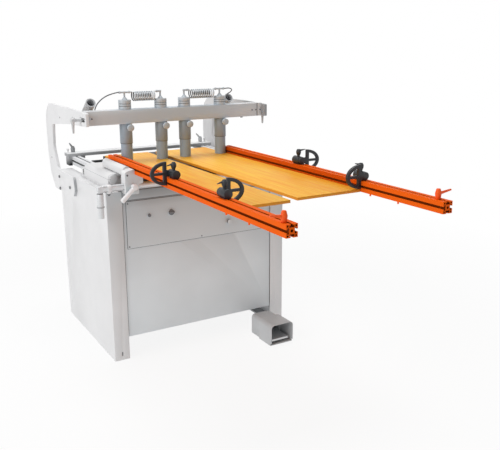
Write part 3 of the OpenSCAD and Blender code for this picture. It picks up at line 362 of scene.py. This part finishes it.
orange_lever = powder_coat("orange moulding", (255, 92, 4), 0.55, 0.1, 0.02)
# painted shade: a dark band on the grip under the bar, and a grey band at its flange
bar_metal = drawn_metal("enamelled guide bar", (222, 224, 226), "X", 0.15, 0.28, 0.025, 0.05,
                        bands=[(DARK, {"Z": (0.8775, 0.8816)}),
                               (SHADE_GREY, {"Z": (0.810, 0.8182)})])
beam_top = beam_high[2]
# painted shade: the cap's two grooves and the barrel's lowest 2 mm are darker
CAP_GROOVES = [((92, 94, 97), {"Z": (beam_top + low / 1000, beam_top + high / 1000)})
               for low, high in ((15.3, 17.9), (27.3, 29.9))]
barrel_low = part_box("clamp_1_barrel")[0][2]
barrel_metal = drawn_metal("clamp barrel", (151, 163, 173), "Z", 0.1, 0.42, 0.04, 0.08,
                           (beam_top, (190, 196, 201)),
                           CAP_GROOVES + [((84, 86, 90), {"Z": (1.0, barrel_low + 0.0022)})])
foot_metal = drawn_metal("clamp foot", (158, 175, 189), "Z", 0.1, 0.45, 0.04, 0.08)
spindle_steel = drawn_metal("ground steel", (176, 177, 179), "Z", 1.0, 0.28)
fastener_steel = drawn_metal("zinc-plated screws", (104, 106, 108), "X", 0.6, 0.4)


# %% [markdown]
# The fences and the rear rails are profiles. Light hardly reaches the bottom of their grooves,
# so they carry a painted shade below the lips: a mask takes the distance from the
# nearer profile's middle line, across and up, and leaves out the sawn ends. The right fence's
# inner side carries a painted shade beside the boards, and this shade too is part of its colour.

# %% Grooved profiles
HALF_PROFILE, SAW_MARK = 0.0225, 0.0008


def profile_coat(name, colour, left, right, top, ends, metallic=0.0, shaded=None):
    """left and right are the profiles' middle lines, ends the places of their sawn ends, and
    shaded gives the place across of a side that lies in the shade of the boards, and the
    place of the boards' front ends."""
    f = Finish(name)
    base = as_seen(*colour)
    across = f.axis("X")
    across = (across - left).size().least((across - right).size())
    high = (f.axis("Z") - (top - HALF_PROFILE)).size()
    # deep: 1 in the grooves below the lips, where the painted shade goes
    deep = f.spread(across.most(high), HALF_PROFILE - 0.0005, HALF_PROFILE - 0.004)
    sawn = (f.axis("Y") - ends[0]).size().under(SAW_MARK).most(
        (f.axis("Y") - ends[1]).size().under(SAW_MARK))
    lines = f.noise(1400, detail=3, stretch=(1, 0.02, 1))
    mask = f.spread(lines * 0.7 + f.noise(9, detail=2) * 0.3, *NOISE)
    paint = f.mix(mask, shade(base, 0.96), shade(base, 1.04))
    if shaded:
        place, boards_end = shaded
        side = f.axis("X").over(place - 0.001) * f.axis("X").under(place + 0.0012)
        beside_boards = f.spread(f.axis("Y"), boards_end - 0.03, boards_end + 0.12)
        paint = f.mix(side * beside_boards, paint, shade(base, 0.7))
    f.set(Base_Color=f.mix(deep * (1 - sawn) * 0.85, paint, shade(base, 0.12)),
          Roughness=f.spread(lines, *NOISE, 0.5, 0.62), Specular_IOR_Level=0.06,
          Metallic=metallic)
    f.bump(lines, 0.1, 0.0003)
    return f.material


left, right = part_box("left_fence"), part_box("right_fence")
orange_profile = profile_coat("orange coated profile", (244, 99, 12),
                              left[0][0] + HALF_PROFILE, right[0][0] + HALF_PROFILE,
                              left[1][2], (left[0][1], right[0][1]),
                              shaded=(right[0][0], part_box("work_boards")[0][1]))
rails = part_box("rear_rails")
rail_metal = profile_coat("natural anodised profile", (226, 227, 229),
                          rails[0][0] + HALF_PROFILE, rails[1][0] - HALF_PROFILE,
                          rails[1][2], (rails[0][1], rails[1][1]), 0.2)


# %% [markdown]
# Cast iron has a grainy skin from the sand mould, with darker hollows. The head and the table
# plates get a noise of two sizes for tone and bump.

# %% Cast iron
def cast_iron(name, colour, roughness=0.55, metallic=0.3):
    f = Finish(name)
    base = as_seen(*colour)
    grain = f.noise(700, detail=4, roughness=0.65)
    cloud = f.noise(18, detail=3)
    f.set(Base_Color=f.mix(f.spread(grain * 0.5 + cloud * 0.5, 0.35, 0.65), shade(base, 0.8),
                           shade(base, 1.15)),
          Roughness=f.spread(grain, *NOISE, roughness - 0.08, roughness + 0.1),
          Metallic=metallic)
    f.bump(grain, 0.3, 0.0006)
    return f.material


table_iron = cast_iron("table plates", (64, 65, 67))
head_iron = cast_iron("drilling head casting", (126, 128, 131))


# %% [markdown]
# Moulded plastic has a spark-eroded grain much finer than paint, and a slightly lighter wear
# on its high spots. Black stops, grey knobs and the buttons differ in colour and gloss, and the
# light button's sides, all but its faces that look forward, carry a painted shade.

# %% Moulded plastic
def moulded(name, colour, roughness=0.45, grain=0.2, side=None):
    f = Finish(name)
    base = as_seen(*colour)
    skin = f.noise(1500, detail=2)
    rub = f.spread(f.noise(60, detail=4), 0.55, 0.75)
    colour = f.mix(rub * 0.5, base, shade(base, 1.3))
    # side: painted shade on every face that does not look forward
    if side:
        colour = f.mix(f.facing_front(), as_seen(*side), colour)
    f.set(Base_Color=colour,
          Roughness=f.spread(skin, *NOISE, roughness - 0.06, roughness + 0.08) + rub * 0.05,
          Specular_IOR_Level=0.5)
    f.bump(skin, grain, 0.0003)
    return f.material


stop_black = moulded("black stop moulding", (30, 32, 37), 0.45)
knob_grey = moulded("grey knob", (188, 198, 206), 0.4)
# the crossbar's two levers are one kind: the darker copy is painted shade, the paler painted
# light
lever_in_painted_shade = moulded("dark lever", (142, 144, 147), 0.42)
lever_in_painted_light = moulded("pale lever", (186, 188, 190), 0.42)
handle_white = moulded("white handle", (236, 236, 237), 0.26, 0.08)
button_grey = moulded("grey button", (112, 113, 116), 0.35)
button_light = moulded("light button", (212, 216, 218), 0.33, side=(58, 59, 61))
conduit_grey = moulded("conduit tube", (186, 187, 189), 0.4)
hose_grey = moulded("air hose", (104, 106, 110), 0.3, 0.05)
pedal_light = drawn_metal("pedal plate", (214, 215, 217), "X", 0.6, 0.35)


# %% [markdown]
# Between the turns of a coiled hose hardly any light is left. The coil's material is darker
# toward the coil's middle line, which gives the rings their crisp dark gaps.

# %% Coiled hose
def coil_plastic(name, colour, dark):
    f = Finish(name)
    (low, high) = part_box("left_coil_hose")
    outside = (high[1] - low[1]) / 2
    across = f.axis("Y") - (low[1] + high[1]) / 2
    up = f.axis("Z") - (high[2] - outside)
    radius = (across * across + up * up) ** 0.5
    port = f.axis("Z").over(high[2] - 0.0066) * across.size().under(0.0032)
    gap = f.spread(radius, outside - 0.001, outside - 0.0036) * (1 - port)
    f.set(Base_Color=f.mix(gap, as_seen(*colour), as_seen(*dark)),
          Roughness=f.spread(f.noise(1500, detail=2), *NOISE, 0.26, 0.38))
    return f.material


coil_grey = coil_plastic("coiled air hose", (204, 211, 217), (44, 45, 48))


# %% [markdown]
# The boards are honey-coloured, with a straight grain that runs from front to rear. Long
# streaks a few millimetres wide come from a noise stretched along Y, finer pores from a second
# one, and a slow drift keeps two boards from looking alike. A board's faces below its top are
# darker: a mask on the board's top height finds them.

# %% Boards
def boards(name):
    f = Finish(name)
    light, honey, amber = as_seen(254, 198, 64), as_seen(246, 164, 32), as_seen(218, 130, 22)
    streak = f.noise(95, detail=5, stretch=(1, 0.035, 1), roughness=0.6)
    pore = f.noise(700, detail=2, stretch=(1, 0.03, 1))
    drift = f.noise(3.5, detail=1, stretch=(1, 0.5, 1))
    grain = f.spread(streak + (drift - 0.5) * 0.35, 0.36, 0.66)
    face = f.mix(grain, honey, light)
    face = f.mix(f.spread(pore, 0.62, 0.75) * 0.35, face, amber)
    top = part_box("work_boards")[1][2]
    edge = f.axis("Z").under(top - 0.0008)
    f.set(Base_Color=f.mix(edge * 0.75, face, amber),
          Roughness=f.spread(pore, *NOISE, 0.42, 0.55), Specular_IOR_Level=0.3)
    f.bump(streak * 0.6 + pore * 0.4, 0.12, 0.0005)
    return f.material


board_wood = boards("varnished board")


# %% [markdown]
# Each CAD part keeps its shape and gets its finish. Real sheet and castings have no knife
# edges, and at this size it is the rounded edge that draws the line of light in a photograph.
# So most parts get a copy whose flat faces are joined, and whose sharp edges are bevelled by a
# millimetre or more, and the copy stands for the part.

# %% Round the edges of a part
def finish_part(name, material):
    mesh = nodes[name].data
    mesh.materials.clear()
    mesh.materials.append(material)


def body_of(name):
    for body, members in frame["record"]["behaviour"]["bodies"].items():
        if name in members:
            return body


def rounded_part(name, material, width, segments=2, sharp=30):
    finish_part(name, material)
    bm = bmesh.new()
    bm.from_mesh(nodes[name].data)
    bmesh.ops.remove_doubles(bm, verts=bm.verts, dist=2e-5)
    bmesh.ops.dissolve_limit(bm, angle_limit=math.radians(0.6), verts=bm.verts, edges=bm.edges)
    edges = [e for e in bm.edges
             if e.is_manifold and e.is_convex and e.calc_face_angle() > math.radians(sharp)]
    bmesh.ops.bevel(bm, geom=edges, offset=width, offset_type="OFFSET", segments=segments,
                    profile=0.5, affect="EDGES", clamp_overlap=True, material=-1)
    mesh = bpy.data.meshes.new(name + "_rounded")
    bm.to_mesh(mesh)
    bm.free()
    piece = bpy.data.objects.new(name + "_rounded", mesh)
    bpy.context.scene.collection.objects.link(piece)
    mesh.materials.append(material)
    mesh.shade_smooth()
    mesh.set_sharp_from_angle(angle=math.radians(32))
    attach(piece, body_of(name))
    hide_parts(name)
    return piece


# %% Finishes and edge widths
PLAIN = {
    "inner_frame": frame_grey, "rear_panel": rear_grey, "frame_fasteners": fastener_steel,
    "rear_rails": rail_metal, "start_button": button_grey, "stop_button": button_light,
    "conduit_tubes": conduit_grey, "drill_head": head_iron, "centre_spindle": spindle_steel,
    "left_fence": orange_profile, "right_fence": orange_profile, "table_bed": table_iron,
}
for name, material in PLAIN.items():
    finish_part(name, material)
for number in (1, 2, 3, 4):
    finish_part(f"clamp_{number}_foot", foot_metal)

ROUNDED = {
    "left_side_panel": (white_paint, 0.0015), "right_side_panel": (white_paint, 0.0015),
    "lower_front_panel": (sheet_grey, 0.0008), "control_panel": (control_grey, 0.0008),
    "left_arm": (left_arm_paint, 0.0016), "right_arm": (arm_paint, 0.0016),
    "work_boards": (board_wood, 0.0007), "side_ways": (way_white, 0.003),
    "guide_bar": (bar_metal, 0.0015), "guide_brackets": (bracket_white, 0.0012),
    "selector_knob": (button_grey, 0.001), "pedal_hood": (pedal_grey, 0.0015),
    "pedal_plate": (pedal_light, 0.001), "rear_crossbar": (crossbar_grey, 0.0015),
    "crossbar_left_lever": (lever_in_painted_shade, 0.001), "crossbar_right_lever": (lever_in_painted_light, 0.001),
    "clamp_beam": (beam_grey, 0.0016), "beam_left_lever": (lever_light, 0.001),
    "beam_right_lever": (lever_light, 0.001), "left_carrier": (casting_white, 0.0035),
    "right_carrier": (casting_white, 0.0035), "left_carrier_handle": (handle_white, 0.002),
    "left_fence_lever": (orange_lever, 0.0015), "right_fence_lever": (orange_lever, 0.0015),
}
for number in (1, 2, 3, 4):
    ROUNDED[f"clamp_{number}_barrel"] = (barrel_metal, 0.0012)
    ROUNDED[f"clamp_{number}_knob"] = (knob_grey, 0.0025)
    ROUNDED[f"stop_{number}_base"] = (stop_black, 0.0015)
    ROUNDED[f"stop_{number}_paddle"] = (stop_black, 0.0015)
for name, (material, width) in ROUNDED.items():
    piece = rounded_part(name, material, width)
    print("rounded", name, len(piece.data.polygons), "faces")


# %% [markdown]
# Air hoses are limp plastic tubes. The coiled ones are one unbroken tube each: a straight end
# in the port of a clamp, a smooth lead, a row of turns and the same again. A curve with a round
# section is made from the points and turned into a mesh.

# %% A tube along points
def tube(name, points, radius, material, sides=6):
    curve = bpy.data.curves.new(name, "CURVE")
    curve.dimensions = "3D"
    curve.bevel_depth = radius
    curve.bevel_resolution = sides
    curve.use_fill_caps = True
    spline = curve.splines.new("POLY")
    spline.points.add(len(points) - 1)
    for point, place in zip(spline.points, points):
        point.co = (*place, 1)
    rough = bpy.data.objects.new(name + "_curve", curve)
    bpy.context.scene.collection.objects.link(rough)
    bpy.context.view_layer.update()
    graph = bpy.context.evaluated_depsgraph_get()
    mesh = bpy.data.meshes.new_from_object(rough.evaluated_get(graph))
    bpy.data.objects.remove(rough)
    mesh.name = name
    mesh.materials.clear()
    mesh.materials.append(material)
    mesh.shade_smooth()
    piece = bpy.data.objects.new(name, mesh)
    bpy.context.scene.collection.objects.link(piece)
    return piece


def length_of(points):
    return sum((b - a).length for a, b in zip(points, points[1:]))


def smooth_path(points, steps):
    """Points on the smooth curve through the given ones."""
    found = []
    for i in range(len(points) - 1):
        a, b = points[max(i - 1, 0)], points[i]
        c, d = points[i + 1], points[min(i + 2, len(points) - 1)]
        for k in range(steps):
            s = k / steps
            found.append(0.5 * (2 * b + (c - a) * s + (2 * a - 5 * b + 4 * c - d) * s ** 2
                                + (3 * b - a - 3 * c + d) * s ** 3))
    return found + [points[-1]]


# %% Coiled hoses
HOSE_D = 0.006
COIL_TURNS = 12
COIL_LEAD = 0.013
LEAD_ANGLES = (math.radians(50), math.radians(310))


def coil_points(node):
    low, high = (Vector(corner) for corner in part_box(node))
    radius = (high.y - low.y) / 2 - HOSE_D / 2
    port, middle = high.z - HOSE_D / 2, (low.y + high.y) / 2
    turns = COIL_TURNS + (LEAD_ANGLES[1] - LEAD_ANGLES[0]) / math.tau - 1
    first, last = low.x + COIL_LEAD + HOSE_D / 2, high.x - COIL_LEAD - HOSE_D / 2

    def on_coil(angle, x):
        return Vector((x, middle + radius * math.sin(angle),
                       port - radius + radius * math.cos(angle)))

    def heading(angle):
        return Vector(((last - first) / turns, radius * math.tau * math.cos(angle),
                       -radius * math.tau * math.sin(angle))).normalized()

    def bend(a, b, c, d, s):
        return ((1 - s) ** 3 * a + 3 * s * (1 - s) ** 2 * b + 3 * s * s * (1 - s) * c
                + s ** 3 * d)

    start, reach = on_coil(LEAD_ANGLES[0], first), 0.011
    finish = on_coil(LEAD_ANGLES[0] + turns * math.tau, last)
    mouth_in, mouth_out = Vector((low.x, middle, port)), Vector((high.x, middle, port))
    step_in, step_out = Vector((HOSE_D, 0, 0)), Vector((HOSE_D + 0.006, 0, 0))
    count = round(turns * 24)
    points = [mouth_in]
    points += [bend(mouth_in + step_in, mouth_in + step_out,
                    start - reach * heading(LEAD_ANGLES[0]), start, k / 8) for k in range(8)]
    points += [on_coil(LEAD_ANGLES[0] + turns * math.tau * k / count,
                       first + (last - first) * k / count) for k in range(count + 1)]
    points += [bend(finish, finish + reach * heading(LEAD_ANGLES[1]), mouth_out - step_out,
                    mouth_out - step_in, k / 8) for k in range(1, 9)]
    return points + [mouth_out]


for side, clamp, near, far in (("left", "clamp_2", 0, -1), ("right", "clamp_3", -1, 0)):
    node = side + "_coil_hose"
    finish_part(node, coil_grey)
    path = coil_points(node)
    coil = tube(node + "_tube", path, HOSE_D / 2 * 0.998, coil_grey, 4)
    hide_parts(node)
    length_of(path)
    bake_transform(coil)
    print(node, "length", round(length_of(path), 3))


# %% [markdown]
# The two plain air hoses run from the outer clamps to the ends of the beam. The left one drops
# in one arc to a fitting behind the beam, the right one turns back in a tight bow and dips into
# the conduit tube. Their points are listed, and are the same as in the CAD source:
# millimetres from the cabinet's left side and front, and from the height of the air ports.

# %% Plain air hoses
SIDE, FRONT = Vector((-0.5, 0, 0)), Vector((0, -0.39, 0))
port_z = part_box("left_coil_hose")[1][2] - HOSE_D / 2
LEFT_ROUTE = ((182, 255, 0), (174, 255, 0), (148, 260, -6), (120, 269, -17), (98, 280, -33),
              (83, 296, -53), (75, 307, -72), (72, 315, -90), (75, 317, -106),
              (76, 307, -115), (76, 299, -115))
RIGHT_ROUTE = ((780, 255, 0), (788, 255, 0), (816, 266, 0), (840, 282, -6), (854, 303, -15),
               (855, 320, -25), (850, 333, -32), (845, 341, -39), (846, 349, -48),
               (853, 366.9, -70.4), (853, 420, -106.2))


def placed(route):
    return [SIDE + FRONT + Vector((x, y, z)) / 1000 + Vector((0, 0, port_z)) for x, y, z in route]


for side, route in (("left", LEFT_ROUTE), ("right", RIGHT_ROUTE)):
    node = side + "_air_hose"
    finish_part(node, hose_grey)
    marks = placed(route)
    path = [marks[0]] + smooth_path(marks[1:-1], 6) + [marks[-1]]
    hose = tube(node + "_tube", path, HOSE_D / 2 * 0.998, hose_grey, 4)
    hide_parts(node)
    length_of(path)
    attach(hose, "beam")
    print(node, "length", round(length_of(path), 3))


# %% [markdown]
# The stage is a pale floor that runs far back. To the camera and in reflections the world is
# plain white, and the object is lit by a dim world and two large soft lamps: one from the
# left, because the cabinet's left side is the brightest upright face in the photograph, and
# one from above.

# %% Floor, lamps and world
def shows_background(tree):
    """1 for the camera's rays and for those that metal or glass sends on, 0 for the others."""
    rays = tree.nodes.new("ShaderNodeLightPath")
    camera, glossy, through = (Value(tree, rays.outputs[name]) for name in
                               ("Is Camera Ray", "Is Glossy Ray", "Is Transmission Ray"))
    return (camera + glossy + through).least(1.0)


# how much of the floor is its own white glow: near the machine, and for light that bounces
NEAR_GLOW, UNSEEN_GLOW = 0.88, 0.6
SHADOW_FADE = (1.4, 3.2)
WORLD_LIGHT = 0.26


def stage_floor():
    bm = bmesh.new()
    bmesh.ops.create_grid(bm, x_segments=1, y_segments=1, size=20)
    mesh = bpy.data.meshes.new("floor")
    bm.to_mesh(mesh)
    bm.free()
    floor = bpy.data.objects.new("floor", mesh)
    bpy.context.scene.collection.objects.link(floor)
    floor.location.z = -0.0005
    f = Finish("pale floor")
    f.set(Base_Color=as_seen(246, 246, 246), Roughness=0.7)
    glow = f.node("ShaderNodeEmission", Color=(1, 1, 1, 1), Strength=1.0)
    mixed = f.tree.nodes.new("ShaderNodeMixShader")
    distance = f.node("ShaderNodeVectorMath", {"operation": "LENGTH"}, 1, i0=f.place)
    glow_seen = f.spread(distance, *SHADOW_FADE, NEAR_GLOW, 1)
    share = shows_background(f.tree) * (glow_seen - UNSEEN_GLOW) + UNSEEN_GLOW
    f.tree.links.new(share.socket, mixed.inputs[0])
    f.tree.links.new(f.shader.outputs[0], mixed.inputs[1])
    f.tree.links.new(glow.socket, mixed.inputs[2])
    output = next(n for n in f.tree.nodes if n.type == "OUTPUT_MATERIAL")
    f.tree.links.new(mixed.outputs[0], output.inputs[0])
    mesh.materials.append(f.material)


def lamp(name, place, target, size, power):
    data = bpy.data.lights.new(name, "AREA")
    data.shape, data.size, data.energy = "DISK", size, power
    light = bpy.data.objects.new(name, data)
    bpy.context.scene.collection.objects.link(light)
    light.location = place
    aim = Vector(target) - Vector(place)
    light.rotation_euler = aim.to_track_quat("-Z", "Y").to_euler()


stage_floor()
lamp("key from the left", (-5.5, -1.6, 3.4), (0, 0, 0.6), 4.5, 170)
lamp("top", (0.3, 0.6, 6.0), (0, 0, 0.8), 3.5, 168)

world = bpy.data.worlds.new("studio")
bpy.context.scene.world = world
world.use_nodes = True
tree = world.node_tree
tree.nodes.clear()
background = tree.nodes.new("ShaderNodeBackground")
background.inputs["Color"].default_value = (1, 1, 1, 1)
strength = shows_background(tree) * (1 - WORLD_LIGHT) + WORLD_LIGHT
tree.links.new(strength.socket, background.inputs["Strength"])
tree.links.new(background.outputs[0], tree.nodes.new("ShaderNodeOutputWorld").inputs[0])


# %% [markdown]
# The camera stands to the left of the machine, a little above the clamp beam, and looks down
# on it. Its place, turn and lens were fitted to the straight edges in the photograph.

# %% Camera
LENS_MM, SENSOR_MM = 49.29, 36.0
PITCH, YAW, ROLL = (math.radians(a) for a in (14.74, 30.37, -0.24))

data = bpy.data.cameras.new("camera")
camera = bpy.data.objects.new("camera", data)
bpy.context.scene.collection.objects.link(camera)
forward = Vector((math.sin(YAW) * math.cos(PITCH), math.cos(YAW) * math.cos(PITCH),
                  -math.sin(PITCH)))
right = Vector((math.cos(YAW), -math.sin(YAW), 0))
up = right.cross(forward)
turned_right = right * math.cos(ROLL) + up * math.sin(ROLL)
turned_up = up * math.cos(ROLL) - right * math.sin(ROLL)
matrix = Matrix((turned_right, turned_up, -forward)).transposed().to_4x4()
matrix.translation = Vector((-1.517, -3.477, 1.549))
camera.matrix_world = matrix
data.lens, data.sensor_width = LENS_MM, SENSOR_MM
data.clip_end = 60
bpy.context.scene.camera = camera
bpy.context.scene.view_settings.view_transform = "Standard"
